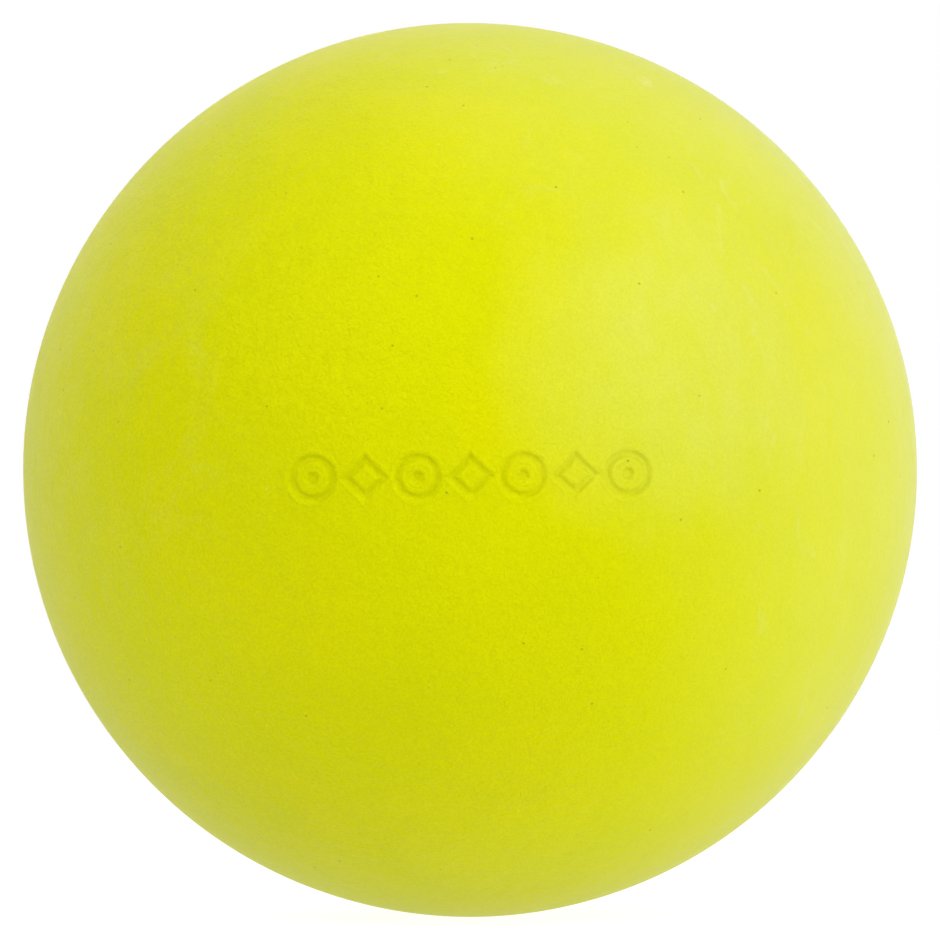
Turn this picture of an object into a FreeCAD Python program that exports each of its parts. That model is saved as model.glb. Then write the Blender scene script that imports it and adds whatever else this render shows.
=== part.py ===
import FreeCAD, Part
import math
import os

import Sketcher

# Hollow rubber play ball. Two moulded cups are cemented rim to rim. The rear cup
# has a boss inside, with a pocket that holds a soft plug: the factory needle goes
# through the plug to fill the ball, and the plug closes behind it.
#
# Frame: millimetres, +Z up, origin at the ball's centre. The ornament is centred
# on the -Y pole, the plug on the +Y pole, and the seam lies in the plane y = 0.

driving_sizes = [
    ("ball_diameter", "60", "outside diameter of the ball"),
    ("wall", "4", "thickness of the moulded rubber"),
    ("seam_film", "0.2", "thickness of the cement between the two rims"),
    ("seam_recess", "0.12", "depth of the cement's edge below the outside"),
    ("rim_round", "0.12", "rounding of each cup's outer rim edge"),
    ("rim_bevel", "0.8", "bevel of each cup's inner rim edge, filled by the bead"),
    ("bead_crown", "0.4", "how far the cement bead bulges into the ball"),
    ("plug_diameter", "7", "diameter of the plug"),
    ("plug_length", "4.5", "length of the plug's straight side"),
    ("plug_crown", "0.5", "how far the plug's inner end is domed"),
    ("plug_film", "0.2", "thickness of the cement round the plug"),
    ("plug_skin", "1.8", "rubber between the plug's pocket and the outside"),
    ("boss_wall", "2.3", "rubber round the plug's pocket"),
    ("boss_round", "0.6", "rounding of the boss's rim and root"),
    ("dimple_diameter", "1.2", "width of the mark that the needle leaves"),
    ("dimple_depth", "0.35", "depth of the mark that the needle leaves"),
    ("figure_size", "3.1", "height and width of each figure of the ornament"),
    ("figure_gap", "0.3", "space between one figure and the next"),
    ("figure_stroke", "0.5", "width of the grooves that draw the figures"),
    ("figure_dot", "0.8", "diameter of the dot inside each ring"),
    ("figure_depth", "0.2", "depth of the grooves below the outside"),
]

figure_count = 7        # rings and diamonds by turns, with a ring at each end
cutter_reach = 1.0      # how far a cutting shape stands clear of the rubber
same_size = 1e-4        # two lengths closer than this are the same

doc = FreeCAD.newDocument("rubber_ball")


def add_sheet():
    sheet = doc.addObject("Spreadsheet::Sheet", "sizes")
    for row, (name, value, note) in enumerate(driving_sizes, start=1):
        sheet.set(f"A{row}", name)
        sheet.set(f"B{row}", value)
        sheet.set(f"C{row}", note)
        sheet.setAlias(f"B{row}", name)
    doc.recompute()
    return sheet


sizes = add_sheet()

# Lengths that several pieces share, as expressions on the sheet.
outer_radius = "(sizes.ball_diameter / 2)"
inner_radius = f"({outer_radius} - sizes.wall)"
rim_height = "(sizes.seam_film / 2)"
bevel_height = f"({rim_height} + sizes.rim_bevel)"
bevel_radius = f"sqrt({inner_radius}^2 - {bevel_height}^2)"
rim_inside = f"({inner_radius} + sizes.rim_bevel)"
rim_outside = f"sqrt({outer_radius}^2 - {rim_height}^2)"
pocket_end = f"({outer_radius} - sizes.plug_skin)"
plug_end = f"({pocket_end} - sizes.plug_film)"
boss_face = f"({plug_end} - sizes.plug_length)"
plug_radius = "(sizes.plug_diameter / 2)"
pocket_radius = f"({plug_radius} + sizes.plug_film)"
boss_radius = f"({pocket_radius} + sizes.boss_wall)"


def value(expression):
    return float(sizes.evalExpression(expression))


def arc_centre(axis, first, second):
    # the point on the axis that is as far from one end of the arc as from the other
    difference = first.x ** 2 + first.y ** 2 - second.x ** 2 - second.y ** 2
    if axis == "V_Axis":
        return FreeCAD.Vector(0, difference / (2 * (first.y - second.y)), 0)
    return FreeCAD.Vector(difference / (2 * (first.x - second.x)), 0, 0)


def pin_corner(sketch, number, edge_end, corner):
    # ties one end of an edge to the sketch's axes, each distance bound to the sheet
    for letter, expression, far_axis in (("x", corner[0], -2), ("y", corner[1], -1)):
        length = value(expression)
        if abs(length) < same_size:
            sketch.addConstraint(Sketcher.Constraint("PointOnObject", *edge_end, far_axis))
            continue
        kind = "DistanceX" if letter == "x" else "DistanceY"
        ends = (-1, 1, *edge_end) if length > 0 else (*edge_end, -1, 1)
        name = f"{letter}_of_corner_{number}"
        index = sketch.addConstraint(Sketcher.Constraint(kind, *ends, abs(length)))
        sketch.renameConstraint(index, name)
        bound = expression if length > 0 else f"-({expression})"
        sketch.setExpression(f"Constraints.{name}", bound)


def add_profile(body, name, corners, arcs=None):
    # A closed outline on the body's XY plane, to be turned about the Y axis. Each
    # corner is a pair of expressions. arcs gives the axis that an arc's centre is
    # on, by the number of the corner that the arc starts from.
    arcs = arcs or {}
    sketch = body.newObject("Sketcher::SketchObject", name)
    plane = next(item for item in body.Origin.OriginFeatures if item.Role == "XY_Plane")
    sketch.AttachmentSupport = [(plane, "")]
    sketch.MapMode = "FlatFace"
    points = [FreeCAD.Vector(value(x), value(y), 0) for x, y in corners]
    edge_ends = []
    for number, first in enumerate(points):
        second = points[(number + 1) % len(points)]
        if number not in arcs:
            edge = sketch.addGeometry(Part.LineSegment(first, second))
            edge_ends.append(((edge, 1), (edge, 2)))
            continue
        centre = arc_centre(arcs[number], first, second)
        spokes = (first - centre, second - centre)
        turns_left = spokes[0].cross(spokes[1]).z > 0
        angles = [math.atan2(spoke.y, spoke.x) for spoke in spokes]
        if not turns_left:
            angles.reverse()
        circle = Part.Circle(centre, FreeCAD.Vector(0, 0, 1), spokes[0].Length)
        edge = sketch.addGeometry(Part.ArcOfCircle(circle, *angles))
        axis_line = -2 if arcs[number] == "V_Axis" else -1
        sketch.addConstraint(Sketcher.Constraint("PointOnObject", edge, 3, axis_line))
        ends = ((edge, 1), (edge, 2))
        edge_ends.append(ends if turns_left else ends[::-1])
    for number, corner in enumerate(corners):
        end_before = edge_ends[number - 1][1]
        start_after = edge_ends[number][0]
        sketch.addConstraint(Sketcher.Constraint("Coincident", *end_before, *start_after))
        pin_corner(sketch, number, start_after, corner)
    doc.recompute()
    return sketch


def turn(body, name, corners, arcs=None, removes=False):
    # turns an outline about the Y axis, to add rubber or to take it away
    sketch = add_profile(body, f"{name}_profile", corners, arcs)
    volume_before = body.Shape.Volume if body.Tip else 0
    kind = "PartDesign::Groove" if removes else "PartDesign::Revolution"
    feature = body.newObject(kind, name)
    feature.Profile = sketch
    feature.ReferenceAxis = (sketch, ["V_Axis"])
    feature.Angle = 360
    doc.recompute()
    change = body.Shape.Volume - volume_before
    if change == 0 or (change < 0) != removes:
        raise RuntimeError(f"{name} changed the volume by {change:.3f} mm3")
    return feature


def circle_edges(feature, circles):
    # names of the feature's edges that are circles of these heights and radii
    names = []
    for number, edge in enumerate(feature.Shape.Edges, start=1):
        if edge.Degenerated or edge.Curve.TypeId != "Part::GeomCircle":
            continue
        for height, radius in circles:
            far = max(abs(edge.Curve.Center.y - height), abs(edge.Curve.Radius - radius))
            if far < same_size:
                names.append(f"Edge{number}")
    if len(names) != len(circles):
        raise RuntimeError(f"{feature.Name} has {len(names)} of {len(circles)} edges")
    return names


def round_edges(body, name, base, circles, radius):
    fillet = body.newObject("PartDesign::Fillet", name)
    fillet.Base = (base, circle_edges(base, circles))
    fillet.setExpression("Radius", radius)
    doc.recompute()
    return fillet


def add_cup(name):
    # a hollow half ball, its pole on +Y and its rim just above the plane y = 0
    body = doc.addObject("PartDesign::Body", name)
    corners = [
        (rim_inside, rim_height),
        (rim_outside, rim_height),
        ("0", outer_radius),
        ("0", inner_radius),
        (bevel_radius, bevel_height),
    ]
    dome = turn(body, f"{name}_dome", corners, arcs={1: "V_Axis", 3: "V_Axis"})
    rim_edge = (value(rim_height), value(rim_outside))
    round_edges(body, f"{name}_rim", dome, [rim_edge], "sizes.rim_round")
    return body


def add_rear_half_shell():
    body = add_cup("rear_half_shell")
    middle_radius = f"({outer_radius} - sizes.wall / 2)"
    corners = [
        ("0", boss_face),
        (boss_radius, boss_face),
        (boss_radius, f"sqrt({middle_radius}^2 - {boss_radius}^2)"),
        ("0", middle_radius),
    ]
    boss = turn(body, "boss", corners, arcs={2: "V_Axis"})
    root_height = f"sqrt({inner_radius}^2 - {boss_radius}^2)"
    boss_edges = [
        (value(boss_face), value(boss_radius)),
        (value(root_height), value(boss_radius)),
    ]
    round_edges(body, "boss_rounding", boss, boss_edges, "sizes.boss_round")
    pocket_mouth = f"({boss_face} - {cutter_reach})"
    corners = [
        ("0", pocket_mouth),
        (pocket_radius, pocket_mouth),
        (pocket_radius, pocket_end),
        ("0", pocket_end),
    ]
    turn(body, "plug_pocket", corners, removes=True)
    dimple_radius = "(sizes.dimple_diameter / 2)"
    corners = [
        ("0", f"({outer_radius} - sizes.dimple_depth)"),
        (dimple_radius, outer_radius),
        (dimple_radius, f"({outer_radius} + {cutter_reach})"),
        ("0", f"({outer_radius} + {cutter_reach})"),
    ]
    turn(body, "needle_dimple", corners, removes=True)
    return body


def add_seam_cement_ring():
    # a thin washer between the rims, with a bead that fills both inner bevels
    body = doc.addObject("PartDesign::Body", "seam_cement_ring")
    edge_radius = f"({outer_radius} - sizes.seam_recess)"
    corners = [
        (edge_radius, f"(-{rim_height})"),
        (edge_radius, rim_height),
        (rim_inside, rim_height),
        (bevel_radius, bevel_height),
        (f"({inner_radius} - sizes.bead_crown)", "0"),
        (bevel_radius, f"(-{bevel_height})"),
        (rim_inside, f"(-{rim_height})"),
    ]
    turn(body, "cement_section", corners, arcs={3: "H_Axis", 4: "H_Axis"})
    return body


def add_inflation_plug():
    # a soft cylinder whose free end, inside the ball, is domed
    body = doc.addObject("PartDesign::Body", "inflation_plug")
    corners = [
        ("0", f"({boss_face} - sizes.plug_crown)"),
        (plug_radius, boss_face),
        (plug_radius, plug_end),
        ("0", plug_end),
    ]
    turn(body, "plug_section", corners, arcs={0: "V_Axis"})
    return body


def add_plug_cement():
    # the film of cement that lines the pocket, between the boss and the plug
    body = doc.addObject("PartDesign::Body", "plug_cement")
    corners = [
        (plug_radius, boss_face),
        (pocket_radius, boss_face),
        (pocket_radius, pocket_end),
        ("0", pocket_end),
        ("0", plug_end),
        (plug_radius, plug_end),
    ]
    turn(body, "film_section", corners)
    return body


def add_primitive(kind, name, place, **bound_sizes):
    # a primitive whose axis lies along +Y, at a distance along the row of figures
    item = doc.addObject(kind, name)
    item.Placement.Rotation = FreeCAD.Rotation(FreeCAD.Vector(1, 0, 0), -90)
    pitch = "(sizes.figure_size + sizes.figure_gap)"
    item.setExpression("Placement.Base.x", f"{pitch} * {place}")
    item.setExpression("Placement.Base.y", f"-({outer_radius} + {cutter_reach})")
    for property_name, expression in bound_sizes.items():
        item.setExpression(property_name, expression)
    return item


def add_cut(name, base, tool):
    cut = doc.addObject("Part::Cut", name)
    cut.Base = base
    cut.Tool = tool
    return cut


def add_ring_figure(name, place, depth):
    outline = add_primitive("Part::Cylinder", f"{name}_outside", place,
                            Radius="sizes.figure_size / 2", Height=depth)
    middle = add_primitive("Part::Cylinder", f"{name}_inside", place,
                           Radius="sizes.figure_size / 2 - sizes.figure_stroke", Height=depth)
    dot = add_primitive("Part::Cylinder", f"{name}_dot", place,
                        Radius="sizes.figure_dot / 2", Height=depth)
    return [add_cut(name, outline, middle), dot]


def add_diamond_figure(name, place, depth):
    # a square on its corner: a groove of one width moves each corner by that times sqrt(2)
    inside = "sizes.figure_size / 2 - sizes.figure_stroke * sqrt(2)"
    outline = add_primitive("Part::Prism", f"{name}_outside", place,
                            Circumradius="sizes.figure_size / 2", Height=depth)
    middle = add_primitive("Part::Prism", f"{name}_inside", place,
                           Circumradius=inside, Height=depth)
    for prism in (outline, middle):
        prism.Polygon = 4
    return [add_cut(name, outline, middle)]


def add_front_half_shell():
    # a plain cup turned to face -Y, with the row of figures sunk into its outside
    cup = add_cup("front_cup")
    cup.Placement.Rotation = FreeCAD.Rotation(FreeCAD.Vector(0, 0, 1), 180)
    depth = f"{outer_radius} / 2 + {cutter_reach}"
    figures = []
    for number in range(figure_count):
        place = number - (figure_count - 1) / 2
        if number % 2 == 0:
            figures += add_ring_figure(f"ring_{number}", place, depth)
        else:
            figures += add_diamond_figure(f"diamond_{number}", place, depth)
    row = doc.addObject("Part::MultiFuse", "figure_row")
    row.Shapes = figures
    floor = doc.addObject("Part::Sphere", "groove_floor")
    floor.setExpression("Radius", f"{outer_radius} - sizes.figure_depth")
    shell = add_cut("front_half_shell", cup, add_cut("ornament", row, floor))
    doc.recompute()
    if shell.Shape.Volume >= cup.Shape.Volume:
        raise RuntimeError("the ornament is not sunk into the front cup")
    return shell


def check_document():
    for item in doc.Objects:
        if {"Invalid", "Error"} & set(item.State):
            raise RuntimeError(f"{item.Name} failed: {item.State}")


def export(parts):
    os.makedirs("parts", exist_ok=True)
    for part in parts:
        shape = part.Shape
        if shape.isNull() or not shape.isValid() or len(shape.Solids) != 1:
            raise RuntimeError(f"{part.Label} is not one valid solid")
    for part in parts:
        part.Shape.exportStep(os.path.join("parts", f"{part.Label}.step"))
        box = part.Shape.optimalBoundingBox()
        print(f"{part.Label}: {part.Shape.Volume:.2f} mm3, "
              f"{box.XLength:.2f} x {box.YLength:.2f} x {box.ZLength:.2f} mm")


parts = [
    add_front_half_shell(),
    add_rear_half_shell(),
    add_seam_cement_ring(),
    add_inflation_plug(),
    add_plug_cement(),
]
doc.recompute()
check_document()
export(parts)
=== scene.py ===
import bpy
import bmesh
import math
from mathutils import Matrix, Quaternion, Vector, noise


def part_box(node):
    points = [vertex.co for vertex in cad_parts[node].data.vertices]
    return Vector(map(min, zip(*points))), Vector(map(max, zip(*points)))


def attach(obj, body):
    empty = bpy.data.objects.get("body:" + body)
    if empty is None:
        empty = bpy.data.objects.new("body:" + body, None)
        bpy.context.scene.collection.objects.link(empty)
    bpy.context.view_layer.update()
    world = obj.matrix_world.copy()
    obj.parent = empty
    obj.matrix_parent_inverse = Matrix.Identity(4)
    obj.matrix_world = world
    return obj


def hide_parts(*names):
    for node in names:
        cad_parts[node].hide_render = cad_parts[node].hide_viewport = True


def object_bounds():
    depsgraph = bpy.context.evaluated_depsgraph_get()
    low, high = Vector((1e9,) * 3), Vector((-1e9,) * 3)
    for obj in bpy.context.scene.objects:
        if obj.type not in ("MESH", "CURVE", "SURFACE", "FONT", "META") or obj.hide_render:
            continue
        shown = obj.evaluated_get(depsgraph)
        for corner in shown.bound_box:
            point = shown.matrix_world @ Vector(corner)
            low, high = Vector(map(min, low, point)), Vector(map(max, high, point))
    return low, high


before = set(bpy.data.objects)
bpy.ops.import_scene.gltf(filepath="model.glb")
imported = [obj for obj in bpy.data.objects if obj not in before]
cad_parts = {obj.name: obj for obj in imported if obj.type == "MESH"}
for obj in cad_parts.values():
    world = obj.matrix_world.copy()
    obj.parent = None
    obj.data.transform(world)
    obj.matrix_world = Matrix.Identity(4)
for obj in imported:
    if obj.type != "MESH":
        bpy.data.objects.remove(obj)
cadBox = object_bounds()
print("frame loaded")

# The ball's centre is the origin. The ornament faces -Y, the plug is on the +Y side and the
# seam lies in the plane y = 0. Everything is in metres.
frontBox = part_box("front_half_shell")
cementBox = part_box("seam_cement_ring")
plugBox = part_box("inflation_plug")
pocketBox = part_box("plug_cement")
ball = {
    "radius": -frontBox[0].y,
    "wall": 0.004,
    "rimHeight": -frontBox[1].y,         # half the thickness of the cement film
    "bevelHeight": cementBox[1].y,       # where the rim's inner bevel meets the cavity
    "segments": 256,                     # points round the seam
}
innerRadius = ball["radius"] - ball["wall"]


def arcPoints(radius, fromAngle, toAngle, count, side):
    # points of a circle round the origin, each as (distance from the Y axis, height along it)
    points = []
    for step in range(count):
        angle = fromAngle + (toAngle - fromAngle) * step / (count - 1)
        points.append((radius * math.sin(angle), side * radius * math.cos(angle)))
    return points


def blendStep(low, high, value):
    share = min(1.0, max(0.0, (value - low) / (high - low)))
    return share * share * (3 - 2 * share)


def makePiece(name, bm, sharpAngle=math.radians(40)):
    bmesh.ops.recalc_face_normals(bm, faces=bm.faces)
    for face in bm.faces:
        face.smooth = True
    mesh = bpy.data.meshes.new(name)
    bm.to_mesh(mesh)
    bm.free()
    mesh.set_sharp_from_angle(angle=sharpAngle)
    piece = bpy.data.objects.new(name, mesh)
    bpy.context.scene.collection.objects.link(piece)
    print(name, len(mesh.vertices), "points")
    return piece


def spinProfile(points, closed=False):
    # turns an outline of (distance from the Y axis, height along it) a full turn about Y
    bm = bmesh.new()
    verts = [bm.verts.new((radius, height, 0)) for radius, height in points]
    edges = [bm.edges.new(pair) for pair in zip(verts, verts[1:])]
    if closed:
        edges.append(bm.edges.new((verts[-1], verts[0])))
    bmesh.ops.spin(bm, geom=verts + edges, cent=(0, 0, 0), axis=(0, 1, 0), dvec=(0, 0, 0),
                   angle=2 * math.pi, steps=ball["segments"], use_merge=True)
    bmesh.ops.remove_doubles(bm, verts=bm.verts, dist=1e-7)
    return bm


# values of the two moulded cups
cupShape = {
    "capAngle": math.radians(45),        # half angle of the gridded cap round the ornament
    "capCells": 64,                      # cells across the cap
    "domeRings": 32,                     # rows from the cap to the rim
    "insideRings": 20,
    "poleAngle": 0.02,                   # the last inside ring, which is merged into the pole
    "rimRound": 0.00012,                 # rounding of the outer rim edge
    "rimSteps": 4,
    "rimBevel": 0.0008,                  # bevel of the inner rim edge
    "guardRing": 0.00006,                # a row this close to the rounding keeps its shading short
    "swell": 0.00003,                    # slow unevenness of the moulded skin
    "swellSize": 0.014,
    "ripple": 0.000005,
    "rippleSize": 0.0035,
}


def rimPoints(side):
    # outer rounding, flat rim and inner bevel
    cornerRadius = cupShape["rimRound"]
    height = ball["rimHeight"] + cornerRadius
    reach = ball["radius"] - cornerRadius
    middle = math.sqrt(reach ** 2 - height ** 2)
    lean = math.asin(height / reach)
    points = []
    for step in range(cupShape["rimSteps"] + 1):
        angle = lean - (lean + math.pi / 2) * step / cupShape["rimSteps"]
        points.append((middle + cornerRadius * math.cos(angle),
                       side * (height + cornerRadius * math.sin(angle))))
    bevelRadius = math.sqrt(innerRadius ** 2 - ball["bevelHeight"] ** 2)
    points.append((innerRadius + cupShape["rimBevel"], side * ball["rimHeight"]))
    points.append((bevelRadius, side * ball["bevelHeight"]))
    return points


def domePoints(fromAngle, side):
    # the outside, from an angle off the pole down to just short of the rim's rounding
    cornerRadius = cupShape["rimRound"]
    lean = math.asin((ball["rimHeight"] + cornerRadius) / (ball["radius"] - cornerRadius))
    lastAngle = math.pi / 2 - lean - cupShape["guardRing"] / ball["radius"]
    return arcPoints(ball["radius"], fromAngle, lastAngle, cupShape["domeRings"] + 1, side)


def placeOnRing(vert, radius, height):
    # keeps a point's direction from the Y axis and moves it to a ring of the outline
    spoke = Vector((vert.co.x, 0, vert.co.z)).normalized() * radius
    vert.co = (spoke.x, height, spoke.z)


def extrudeRings(bm, edges, points):
    for radius, height in points:
        made = bmesh.ops.extrude_edge_only(bm, edges=edges)["geom"]
        ringVerts = {item for item in made if isinstance(item, bmesh.types.BMVert)}
        edges = [item for item in made if isinstance(item, bmesh.types.BMEdge)
                 and ringVerts.issuperset(item.verts)]
        for vert in ringVerts:
            placeOnRing(vert, radius, height)
    return edges


def roughenSkin(bm):
    # moulded rubber is never quite round, so the outside swells and ripples a little
    for vert in bm.verts:
        if vert.co.length < ball["radius"] - ball["wall"] / 4:
            continue
        swell = cupShape["swell"] * noise.noise(vert.co / cupShape["swellSize"])
        ripple = cupShape["ripple"] * noise.noise(vert.co / cupShape["rippleSize"])
        vert.co += vert.co.normalized() * (swell + ripple)


# values of the ornament that is sunk into the front cup
ornament = {
    "count": 7,                          # rings and diamonds by turns
    "size": 0.0031,
    "gap": 0.0003,
    "stroke": 0.0005,
    "dot": 0.0008,
    "depth": 0.00022,
    "spread": 0.00008,                   # how far a groove's rounded edge spreads outside
    "wall": 0.00028,                     # width of the leaning wall, from there inwards
    "lip": 0.00003,                      # rubber pushed up beside a groove
    "lipWidth": 0.00016,
    "lipCrest": 1.3,                     # the lip's highest line, in lip widths from the groove
    "lipNarrowness": 3,
    "cuts": 15,                          # cuts of each cell where the ornament is
    "margin": 0.0006,
}


def distanceToGroove(x, z):
    # distance in the plane of the row to the nearest groove's edge, negative inside it
    pitch = ornament["size"] + ornament["gap"]
    middle = (ornament["count"] - 1) / 2
    number = min(ornament["count"] - 1, max(0, round(x / pitch + middle)))
    x -= (number - middle) * pitch
    halfStroke = ornament["stroke"] / 2
    if number % 2:
        centreLine = ornament["size"] / 2 - halfStroke * math.sqrt(2)
        return abs(abs(x) + abs(z) - centreLine) / math.sqrt(2) - halfStroke
    fromCentre = math.hypot(x, z)
    ring = abs(fromCentre - ornament["size"] / 2 + halfStroke) - halfStroke
    return min(ring, fromCentre - ornament["dot"] / 2)


def sinkOrnament(bm):
    pitch = ornament["size"] + ornament["gap"]
    halfLength = (ornament["count"] - 1) / 2 * pitch + ornament["size"] / 2 + ornament["margin"]
    halfHeight = ornament["size"] / 2 + ornament["margin"]

    def inRow(point):
        onOutside = point.length > ball["radius"] - ball["wall"] / 4 and point.y < 0
        return onOutside and abs(point.x) < halfLength and abs(point.z) < halfHeight

    faces = [face for face in bm.faces if inRow(face.calc_center_median())]
    edges = {edge for face in faces for edge in face.edges}
    bmesh.ops.subdivide_edges(bm, edges=list(edges), cuts=ornament["cuts"], use_grid_fill=True)
    for vert in bm.verts:
        if vert.co.y > 0 or vert.co.length < ball["radius"] - ball["wall"] / 4:
            continue
        if abs(vert.co.x) > halfLength * 1.2 or abs(vert.co.z) > halfHeight * 2:
            continue  # well outside the row
        gap = distanceToGroove(vert.co.x, vert.co.z)
        sunk = ornament["depth"] * blendStep(0.0, ornament["wall"], ornament["spread"] - gap)
        fromCrest = gap / ornament["lipWidth"] - ornament["lipCrest"]
        lip = ornament["lip"] * math.exp(-ornament["lipNarrowness"] * fromCrest ** 2)
        vert.co = vert.co.normalized() * (ball["radius"] - sunk + lip)


def buildFrontShell():
    bm = bmesh.new()
    cells = cupShape["capCells"]
    bmesh.ops.create_grid(bm, x_segments=cells, y_segments=cells, size=1)
    for vert in bm.verts:
        # the square grid becomes a round cap: each square row becomes a ring
        u, v = vert.co.x, vert.co.y
        reach = max(abs(u), abs(v))
        if reach < 1e-6:
            turn = 0.0
        elif abs(u) >= abs(v):
            turn = math.pi / 4 * v / u + (math.pi if u < 0 else 0)
        else:
            turn = math.pi / 2 - math.pi / 4 * u / v + (math.pi if v < 0 else 0)
        angle = reach * cupShape["capAngle"]
        spread = ball["radius"] * math.sin(angle)
        vert.co = (spread * math.cos(turn), -ball["radius"] * math.cos(angle),
                   spread * math.sin(turn))
    border = [edge for edge in bm.edges if edge.is_boundary]
    outline = domePoints(cupShape["capAngle"], -1)[1:] + rimPoints(-1)
    insideStart = math.acos(ball["bevelHeight"] / innerRadius)
    outline += arcPoints(innerRadius, insideStart, cupShape["poleAngle"],
                         cupShape["insideRings"], -1)[1:]
    lastEdges = extrudeRings(bm, border, outline)
    lastVerts = list({vert for edge in lastEdges for vert in edge.verts})
    bmesh.ops.pointmerge(bm, verts=lastVerts, merge_co=(0, -innerRadius, 0))
    sinkOrnament(bm)
    roughenSkin(bm)
    return makePiece("frontCup", bm)


rearShape = {
    "dimpleRadius": 0.0006,
    "dimpleDepth": 0.00035,
    "outlinePoints": 28,                 # from the dimple's edge to the cap's angle
    "bossWall": 0.0023,
    "bossRound": 0.0006,
    "roundSteps": 4,
}


def buildRearShell():
    radius = ball["radius"]
    dimple = rearShape["dimpleRadius"]
    # a soft funnel where the needle went in
    outline = []
    for share in (0.0, 0.25, 0.5, 0.7, 0.85, 1.0, 1.15, 1.35, 1.7):
        sunk = rearShape["dimpleDepth"] * (1 - blendStep(0.0, 1.35, share))
        distance = share * dimple
        outline.append((distance, math.sqrt(radius ** 2 - distance ** 2) - sunk))
    fromAngle = math.asin(outline[-1][0] / radius)
    outline += arcPoints(radius, fromAngle, cupShape["capAngle"], rearShape["outlinePoints"],
                         1)[1:]
    outline += domePoints(cupShape["capAngle"], 1)[1:] + rimPoints(1)
    # inside: the cavity, then the boss with the plug's pocket
    pocketRadius = pocketBox[1].x
    bossRadius = pocketRadius + rearShape["bossWall"]
    bossFace = pocketBox[0].y
    rounding = rearShape["bossRound"]
    rootAngle = math.asin((bossRadius + rounding) / innerRadius)
    insideStart = math.acos(ball["bevelHeight"] / innerRadius)
    outline += arcPoints(innerRadius, insideStart, rootAngle, cupShape["insideRings"], 1)[1:]
    rootHeight = outline[-1][1]
    steps = rearShape["roundSteps"]
    for step in range(1, steps + 1):
        angle = math.pi / 2 * step / steps
        outline.append((bossRadius + rounding * (1 - math.sin(angle)),
                        rootHeight - rounding * (1 - math.cos(angle))))
    for step in range(steps + 1):
        angle = math.pi / 2 * step / steps
        outline.append((bossRadius - rounding * (1 - math.cos(angle)),
                        bossFace + rounding * (1 - math.sin(angle))))
    outline += [(pocketRadius, bossFace), (pocketRadius, pocketBox[1].y), (0, pocketBox[1].y)]
    bm = spinProfile(outline)
    roughenSkin(bm)
    return makePiece("rearCup", bm)


frontShell = buildFrontShell()
rearShell = buildRearShell()


cementShape = {
    "bulge": 0.0004,
    "bulgeSteps": 8,
    "edgeRound": 0.00004,
    "waver": 0.00006,
    "waverSize": 0.005,
}


def buildSeamCement():
    # a washer between the rims, with the bead that was squeezed into both bevels
    edgeRadius = cementBox[1].x
    softRadius = edgeRadius - cementShape["edgeRound"]
    rim = ball["rimHeight"]
    bevel = ball["bevelHeight"]
    bevelRadius = math.sqrt(innerRadius ** 2 - bevel ** 2)
    innerEdge = innerRadius + cupShape["rimBevel"]
    outline = [(softRadius, -rim), (edgeRadius, -rim / 2), (edgeRadius, rim / 2),
               (softRadius, rim), (innerEdge, rim)]
    for step in range(cementShape["bulgeSteps"] + 1):
        angle = math.pi * step / cementShape["bulgeSteps"]
        outline.append((bevelRadius - cementShape["bulge"] * math.sin(angle),
                        bevel * math.cos(angle)))
    outline.append((innerEdge, -rim))
    bm = spinProfile(outline, closed=True)
    for vert in bm.verts:
        if math.hypot(vert.co.x, vert.co.z) < bevelRadius - cementShape["bulge"] / 4:
            sway = noise.noise(vert.co / cementShape["waverSize"]) * cementShape["waver"]
            vert.co += Vector((vert.co.x, 0, vert.co.z)).normalized() * sway
    return makePiece("seamCement", bm)


plugShape = {"domeSteps": 7, "faceRound": 0.0001, "backRound": 0.0002}


def buildPlug():
    radius = plugBox[1].x
    low, high = plugBox[0].y, plugBox[1].y
    face = pocketBox[0].y
    faceRound = plugShape["faceRound"]
    backRound = plugShape["backRound"]
    # a domed inner face, then the straight side with both of its edges rounded
    outline = [(0, low)]
    for step in range(1, plugShape["domeSteps"]):
        distance = radius * step / plugShape["domeSteps"]
        outline.append((distance, low + (face - low) * (distance / radius) ** 2))
    outline += [(radius - faceRound, face - faceRound / 5), (radius, face + faceRound * 1.2),
                (radius, high - backRound), (radius - backRound, high), (0, high)]
    return makePiece("inflationPlug", spinProfile(outline))


seamCement = buildSeamCement()
inflationPlug = buildPlug()


def addNode(tree, kind, place, **settings):
    node = tree.nodes.new(kind)
    node.location = place
    for name, setting in settings.items():
        if hasattr(node, name):
            setattr(node, name, setting)
        else:
            node.inputs[name].default_value = setting
    return node


def addMix(tree, place, mask, first, second):
    # a colour mix: mask, first and second are each a socket or a fixed colour
    mix = addNode(tree, "ShaderNodeMix", place, data_type="RGBA")
    for index, item in ((0, mask), (6, first), (7, second)):
        if isinstance(item, bpy.types.NodeSocket):
            tree.links.new(item, mix.inputs[index])
        else:
            mix.inputs[index].default_value = item
    return mix.outputs[2]


def addRamp(tree, place, source, low, high, lowValue=0.0, highValue=1.0):
    # a smooth step of a value between two limits
    ramp = addNode(tree, "ShaderNodeMapRange", place, interpolation_type="SMOOTHSTEP")
    tree.links.new(source, ramp.inputs["Value"])
    ramp.inputs["From Min"].default_value = low
    ramp.inputs["From Max"].default_value = high
    ramp.inputs["To Min"].default_value = lowValue
    ramp.inputs["To Max"].default_value = highValue
    return ramp.outputs["Result"]


def addMath(tree, place, operation, first, second):
    node = addNode(tree, "ShaderNodeMath", place, operation=operation)
    for index, item in enumerate((first, second)):
        if isinstance(item, bpy.types.NodeSocket):
            tree.links.new(item, node.inputs[index])
        else:
            node.inputs[index].default_value = item
    return node.outputs[0]


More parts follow.
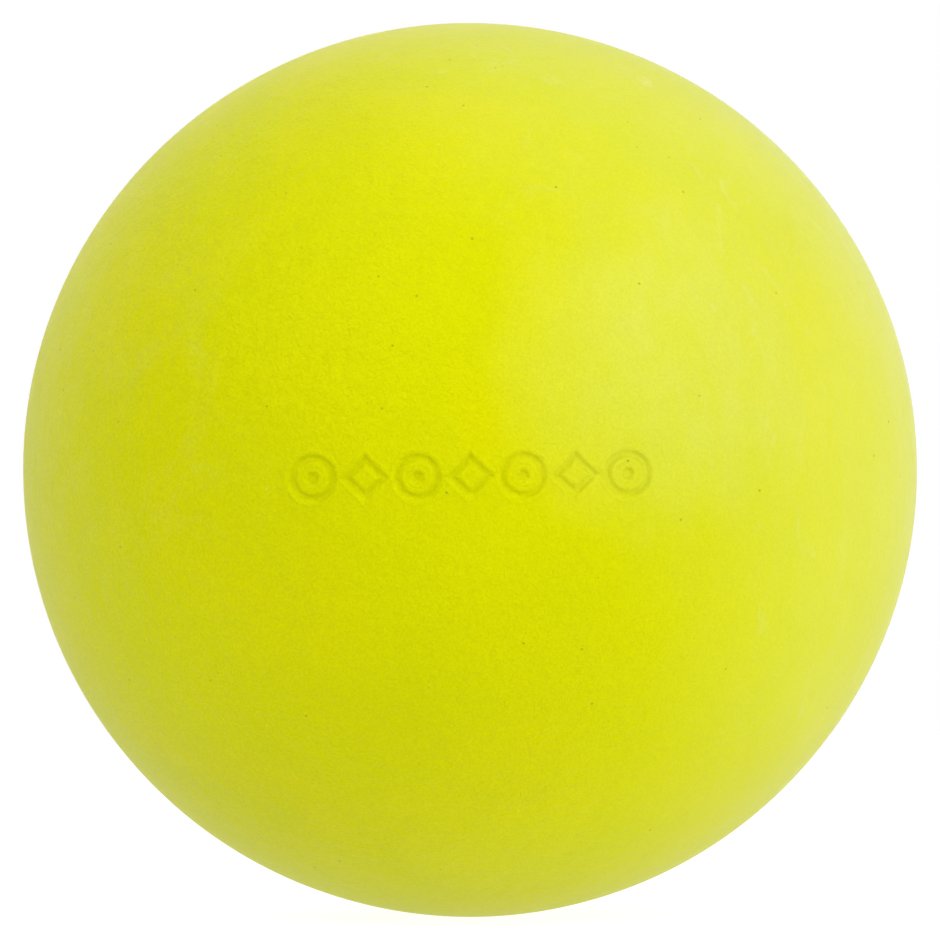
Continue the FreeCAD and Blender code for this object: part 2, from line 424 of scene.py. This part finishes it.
rubber = {
    "colour": (0.73, 0.75, 0.0006, 1),
    "deepColour": (0.71, 0.74, 0.0006, 1),
    "warmColour": (0.75, 0.75, 0.0006, 1),
    # colour of the painted sheen, and of the pale scuffs
    "sheenAndScuffColour": (0.75, 0.79, 0.15, 1),
    "sheenShare": 0.32,                   # how much painted sheen covers the right-hand side
    "sheenHeartShare": 0.65,                  # and what the painted sheen's middle adds
    # strength of the painted soft highlight
    "highlightShare": 0.38,
    "scuffShare": 0.17,
    "sheenToward": (0.8, 0.5, 0.3),       # middle of the painted sheen, on the right-hand side
    "highlightToward": (0.43, -0.87, 0.25),    # where a soft highlight is painted, right of the ornament
    "scuffToward": (-0.90, -0.40, 0.10),  # and a side with scuffed patches
    "mottleColour": (0.700, 0.728, 0.003, 1),
    # pale streaks painted into the sheen
    "sheenWispColour": (0.80, 0.82, 0.26, 1),
    "sheenWispSize": 0.0034,
    "poreColour": (0.50, 0.53, 0.0, 1),
    "speckColour": (0.20, 0.20, 0.02, 1),
    "speckRadius": 0.000085,
    "speckCell": 0.0024,
    "speckShare": 0.52,
    "fleckCell": 0.0024 * 1.37,          # an odd multiple, so that flecks keep off the specks
    "fleckShare": 0.2,
    "fleckColour": (0.85, 0.86, 0.35, 1),
    "roughness": 0.36,
    "specular": 0.14,
    "specularTint": (1.0, 1.0, 0.0, 1),
    "poreSize": 0.00016,
    "poreShare": 0.12,
    "grainSize": 0.0004,
    "pebbleSize": 0.0013,
    "pebbleHeight": 1.2,                 # the pebbles' height next to the grain's
    "bump": 0.7,
}


def shellMaterial():
    material = bpy.data.materials.new("mouldedRubber")
    material.use_nodes = True
    tree = material.node_tree
    shader = tree.nodes["Principled BSDF"]
    coords = addNode(tree, "ShaderNodeTexCoord", (-1800, 0)).outputs["Object"]

    def cloud(place, size, detail=3.0, rough=0.55, distortion=0.0, stretch=(1, 1, 1)):
        mapping = addNode(tree, "ShaderNodeMapping", (place[0] - 200, place[1]))
        mapping.inputs["Scale"].default_value = stretch
        tree.links.new(coords, mapping.inputs["Vector"])
        texture = addNode(tree, "ShaderNodeTexNoise", place, Scale=1 / size, Detail=detail,
                          Roughness=rough, Distortion=distortion)
        tree.links.new(mapping.outputs["Vector"], texture.inputs["Vector"])
        return texture.outputs["Fac"]

    slow = cloud((-1200, 700), 0.009, 2.0)
    colour = addMix(tree, (-800, 700), addRamp(tree, (-1000, 700), slow, 0.35, 0.65),
                    rubber["colour"], rubber["deepColour"])
    warmth = addRamp(tree, (-1000, 850), cloud((-1200, 850), 0.015, 2.0, 0.5, 0.5), 0.45, 0.65)
    colour = addMix(tree, (-700, 800), warmth, colour, rubber["warmColour"])
    # greyish mottling in loose patches, with a wrinkled edge
    patches = addRamp(tree, (-1000, 500), cloud((-1200, 500), 0.012, 4.0, 0.6, 0.8), 0.46, 0.72)
    wrinkle = addRamp(tree, (-1000, 350), cloud((-1200, 350), 0.0009, 4.0, 0.65, 1.5), 0.3, 0.7)
    mottle = addMath(tree, (-800, 450), "MULTIPLY", patches, wrinkle)
    colour = addMix(tree, (-600, 600), mottle, colour, rubber["mottleColour"])
    # a painted sheen over the right-hand side, broken into soft upright streaks
    direction = addNode(tree, "ShaderNodeVectorMath", (-1600, 200), operation="NORMALIZE")
    tree.links.new(coords, direction.inputs[0])
    ragged = cloud((-1400, 50), 0.007, 5.0, 0.6)

    def nearness(place, toward, raggedness):
        # 1 at one point of the skin, falling off with the angle from it, with a ragged edge
        facing = addNode(tree, "ShaderNodeVectorMath", place, operation="DOT_PRODUCT")
        tree.links.new(direction.outputs["Vector"], facing.inputs[0])
        facing.inputs[1].default_value = Vector(toward).normalized()
        shift = addMath(tree, (place[0] + 150, place[1]), "MULTIPLY_ADD", ragged, raggedness)
        shift.node.inputs[2].default_value = -raggedness / 2
        return addMath(tree, (place[0] + 300, place[1]), "ADD", facing.outputs["Value"], shift)

    # nearness to the middle of the painted sheen, which the grain below also follows
    side = nearness((-1200, 250), rubber["sheenToward"], 0.22)
    # nearness to the painted soft highlight right of the ornament
    highlightNearness = nearness((-1200, 100), rubber["highlightToward"], 0.07)
    paintedSheen = addRamp(tree, (-800, 250), side, -0.3, 0.3, 0.0, rubber["sheenShare"])
    sheenMiddle = addRamp(tree, (-800, 150), side, 0.45, 0.95, 0.0, rubber["sheenHeartShare"])
    paintedHighlight = addRamp(tree, (-800, 50), highlightNearness, 0.9, 1.02, 0.0, rubber["highlightShare"])
    sheenAndScuffs = addMath(tree, (-700, 200), "ADD", addMath(tree, (-750, 200), "ADD", paintedSheen, sheenMiddle), paintedHighlight)
    streaks = addRamp(tree, (-1000, -100), cloud((-1200, -100), 0.0022, 4.0, 0.6, 0.5,
                                                 (1, 1, 0.3)), 0.3, 0.7, 0.72, 1.08)
    sheenAndScuffs = addMath(tree, (-500, 150), "MULTIPLY", sheenAndScuffs, streaks)
    # pale scuffed patches on the left side, mixed in with the painted sheen
    scuffed = nearness((-1200, -50), rubber["scuffToward"], 0.30)
    scuffs = addMath(tree, (-800, -50), "MULTIPLY", wrinkle,
                     addRamp(tree, (-1000, -200), cloud((-1200, -200), 0.006, 5.0, 0.65, 0.8),
                             0.46, 0.62, 0.0, rubber["scuffShare"]))
    scuffs = addMath(tree, (-700, -50), "MULTIPLY", scuffs,
                     addRamp(tree, (-800, -150), scuffed, 0.70, 0.98))
    sheenAndScuffs = addMath(tree, (-450, 100), "ADD", sheenAndScuffs, scuffs)
    colour = addMix(tree, (-400, 500), sheenAndScuffs, colour, rubber["sheenAndScuffColour"])

    # pores and the mould's grain, fewer and smoother toward the side of the painted sheen
    coarseness = addRamp(tree, (-800, -850), side, -0.85, 0.35, 1.75, 0.8)
    pores = addRamp(tree, (-600, -100), cloud((-800, -100), rubber["poreSize"], 2.0, 0.5),
                    0.35, 0.65, 0.0, rubber["poreShare"])
    pores = addMath(tree, (-450, 0), "MULTIPLY", pores, coarseness)
    colour = addMix(tree, (-350, 450), pores, colour, rubber["poreColour"])

    def dots(place, cell, radius, softness, share):
        texture = addNode(tree, "ShaderNodeTexVoronoi", place, Scale=1 / cell)
        tree.links.new(coords, texture.inputs["Vector"])
        return addRamp(tree, (place[0] + 200, place[1]), texture.outputs["Distance"],
                       radius / cell * (1 - softness), radius / cell * (1 + softness), share, 0.0)

    # pale upright wisps painted into the sheen, small dark specks and fewer pale flecks
    sheenWisps = addRamp(tree, (-1000, -300), cloud((-1200, -300), rubber["sheenWispSize"], 5.0, 0.62, 1.2,
                                               (1, 1, 0.4)), 0.56, 0.78, 0.0, 1.4)
    sheenWisps = addMath(tree, (-800, -300), "MULTIPLY", sheenWisps, paintedSheen)
    colour = addMix(tree, (-300, 400), sheenWisps, colour, rubber["sheenWispColour"])
    specks = dots((-1200, -450), rubber["speckCell"], rubber["speckRadius"], 0.5, rubber["speckShare"])
    colour = addMix(tree, (-200, 300), specks, colour, rubber["speckColour"])
    flecks = dots((-1200, -600), rubber["fleckCell"], rubber["speckRadius"], 0.5,
                  rubber["fleckShare"])
    colour = addMix(tree, (-100, 200), flecks, colour, rubber["fleckColour"])
    tree.links.new(colour, shader.inputs["Base Color"])
    roughness = addMath(tree, (-400, 0), "MULTIPLY_ADD", mottle, 0.1)
    roughness.node.inputs[2].default_value = rubber["roughness"]
    tree.links.new(roughness, shader.inputs["Roughness"])
    grain = cloud((-1200, -800), rubber["grainSize"], 3.0, 0.6, 1.2)
    pebble = cloud((-1200, -1000), rubber["pebbleSize"], 2.0, 0.5)
    height = addMath(tree, (-800, -700), "MULTIPLY_ADD", pebble,
                     rubber["pebbleHeight"])
    tree.links.new(grain, height.node.inputs[2])
    height = addMath(tree, (-600, -700), "MULTIPLY", height, coarseness)
    bump = addNode(tree, "ShaderNodeBump", (-400, -600), Strength=rubber["bump"],
                   Distance=0.0001)
    tree.links.new(height, bump.inputs["Height"])
    tree.links.new(bump.outputs["Normal"], shader.inputs["Normal"])
    shader.inputs["Specular IOR Level"].default_value = rubber["specular"]
    shader.inputs["Specular Tint"].default_value = rubber["specularTint"]
    return material


cementLook = {
    "colour": (0.62, 0.62, 0.02, 1),
    "darkColour": (0.52, 0.51, 0.02, 1),
    "roughness": 0.5,
    "grainSize": 0.0004,
}
gumLook = {
    "colour": (0.60, 0.40, 0.16, 1),
    "darkColour": (0.50, 0.31, 0.11, 1),
    "roughness": 0.4,
    "grainSize": 0.0005,
}


def plainRubber(name, colour, darkColour, roughness, grainSize):
    # cured cement and gum rubber: a mottled colour and a fine grain
    material = bpy.data.materials.new(name)
    material.use_nodes = True
    tree = material.node_tree
    shader = tree.nodes["Principled BSDF"]
    coords = addNode(tree, "ShaderNodeTexCoord", (-1000, 0)).outputs["Object"]
    cloud = addNode(tree, "ShaderNodeTexNoise", (-800, 200), Scale=1 / 0.004, Detail=4.0)
    grain = addNode(tree, "ShaderNodeTexNoise", (-800, -200), Scale=1 / grainSize, Detail=3.0)
    for texture in (cloud, grain):
        tree.links.new(coords, texture.inputs["Vector"])
    mottle = addRamp(tree, (-600, 200), cloud.outputs["Fac"], 0.35, 0.65)
    tree.links.new(addMix(tree, (-400, 200), mottle, colour, darkColour),
                   shader.inputs["Base Color"])
    bump = addNode(tree, "ShaderNodeBump", (-400, -200), Strength=0.4, Distance=0.00003)
    tree.links.new(grain.outputs["Fac"], bump.inputs["Height"])
    tree.links.new(bump.outputs["Normal"], shader.inputs["Normal"])
    shader.inputs["Roughness"].default_value = roughness
    return material


shellRubber = shellMaterial()
cementRubber = plainRubber("curedCement", **cementLook)
gumRubber = plainRubber("gumRubber", **gumLook)

frontShell.data.materials.append(shellRubber)
rearShell.data.materials.append(shellRubber)
seamCement.data.materials.append(cementRubber)
inflationPlug.data.materials.append(gumRubber)
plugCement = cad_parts["plug_cement"]
for materialSlot in plugCement.material_slots:
    materialSlot.material = cementRubber

for piece, node, slotName in (
        (frontShell, "front_half_shell", "shell_rubber"),
        (rearShell, "rear_half_shell", "shell_rubber"),
        (seamCement, "seam_cement_ring", "cement_rubber"),
        (inflationPlug, "inflation_plug", "plug_rubber")):
    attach(piece, "root")
    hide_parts(node)
print("materials done")


studio = {
    "floorRadius": 0.3,
    "floorColour": (0.25, 0.25, 0.25, 1),
    "floorGlow": 0.65,                   # light that the floor sends to the ball
    "floorLook": 0.93,                   # and how bright it looks
    "backdropLook": 1.0,
    "panelDistance": 0.5,
    "panelWidth": 0.3,
}

# each soft panel: direction from the ball and power, and a width where it isn't the usual one
keyPower = 1.2       # the key is upperLeft, and each fill is a half, a quarter or an eighth of it
panels = {
    "right": {"toward": (0.87, -0.50, 0.02), "power": keyPower / 2},
    "frontRight": {"toward": (0.60, -0.80, 0.0), "power": keyPower / 2},
    "sideRight": {"toward": (0.93, 0.33, 0.13), "power": keyPower / 4},
    "rearRight": {"toward": (0.61, 0.50, 0.61), "power": keyPower / 8},
    "upperRight": {"toward": (0.61, -0.50, 0.61), "power": keyPower / 2},
    "upperLeft": {"toward": (-0.61, -0.50, 0.61), "power": keyPower},
    "upperFront": {"toward": (0.0, -0.87, 0.50), "power": keyPower / 4},
    "top": {"toward": (0.0, 0.0, 1.0), "power": keyPower / 2},
    "behind": {"toward": (0.0, 1.0, 0.0), "width": 2.0, "power": 9.0},
}


def lookOnly(tree, seen, sent):
    # one value for what the camera sees and another for the light that is sent out
    lightPath = addNode(tree, "ShaderNodeLightPath", (-600, -300))
    strength = addNode(tree, "ShaderNodeMapRange", (-300, -300))
    tree.links.new(lightPath.outputs["Is Camera Ray"], strength.inputs["Value"])
    strength.inputs["To Min"].default_value = sent
    strength.inputs["To Max"].default_value = seen
    return strength.outputs["Result"]


def addFloor():
    bm = bmesh.new()
    bmesh.ops.create_circle(bm, cap_ends=True, segments=64, radius=studio["floorRadius"])
    bmesh.ops.translate(bm, verts=bm.verts, vec=(0, 0, cadBox[0].z))
    mesh = bpy.data.meshes.new("floor")
    bm.to_mesh(mesh)
    bm.free()
    floor = bpy.data.objects.new("floor", mesh)
    bpy.context.scene.collection.objects.link(floor)
    material = bpy.data.materials.new("paleFloor")
    material.use_nodes = True
    tree = material.node_tree
    shader = tree.nodes["Principled BSDF"]
    shader.inputs["Base Color"].default_value = studio["floorColour"]
    shader.inputs["Roughness"].default_value = 0.9
    shader.inputs["Specular IOR Level"].default_value = 0.0
    shader.inputs["Emission Color"].default_value = (1, 1, 1, 1)
    tree.links.new(lookOnly(tree, studio["floorLook"], studio["floorGlow"]),
                   shader.inputs["Emission Strength"])
    mesh.materials.append(material)


def addWorld():
    world = bpy.data.worlds.new("studio")
    bpy.context.scene.world = world
    world.use_nodes = True
    background = world.node_tree.nodes["Background"]
    background.inputs["Color"].default_value = (1, 1, 1, 1)
    world.node_tree.links.new(lookOnly(world.node_tree, studio["backdropLook"], 0.0),
                              background.inputs["Strength"])


def addPanel(name, values):
    light = bpy.data.lights.new(name, "AREA")
    light.shape = "DISK"
    light.size = values.get("width", studio["panelWidth"])
    light.energy = values["power"]
    lamp = bpy.data.objects.new(name, light)
    toward = Vector(values["toward"]).normalized()
    lamp.location = toward * studio["panelDistance"]
    lamp.rotation_euler = toward.to_track_quat("Z", "Y").to_euler()
    lamp.visible_camera = False
    bpy.context.scene.collection.objects.link(lamp)


cameraView = {
    "lens": 400.0,
    "sensor": 36.0,
    "elevation": math.radians(0.8),
    "roll": math.radians(0.9),
    "frameShare": 0.951,                 # the ball's width as a share of the picture
}


def addCamera():
    camera = bpy.data.cameras.new("camera")
    camera.lens = cameraView["lens"]
    camera.sensor_width = cameraView["sensor"]
    holder = bpy.data.objects.new("camera", camera)
    halfView = cameraView["sensor"] / 2 / cameraView["lens"]
    limbAngle = math.atan(halfView * cameraView["frameShare"])
    distance = ball["radius"] / math.sin(limbAngle)
    elevation = cameraView["elevation"]
    back = Vector((0, -math.cos(elevation), math.sin(elevation)))
    holder.location = back * distance
    aim = back.to_track_quat("Z", "Y")
    holder.rotation_mode = "QUATERNION"
    holder.rotation_quaternion = aim @ Quaternion((0, 0, 1), -cameraView["roll"])
    camera.clip_start = 0.01
    camera.clip_end = 10
    bpy.context.scene.collection.objects.link(holder)
    bpy.context.scene.camera = holder


addFloor()
addWorld()
for panelName, panelValues in panels.items():
    addPanel(panelName, panelValues)
addCamera()
bpy.context.scene.view_settings.view_transform = "Standard"
print("studio done")
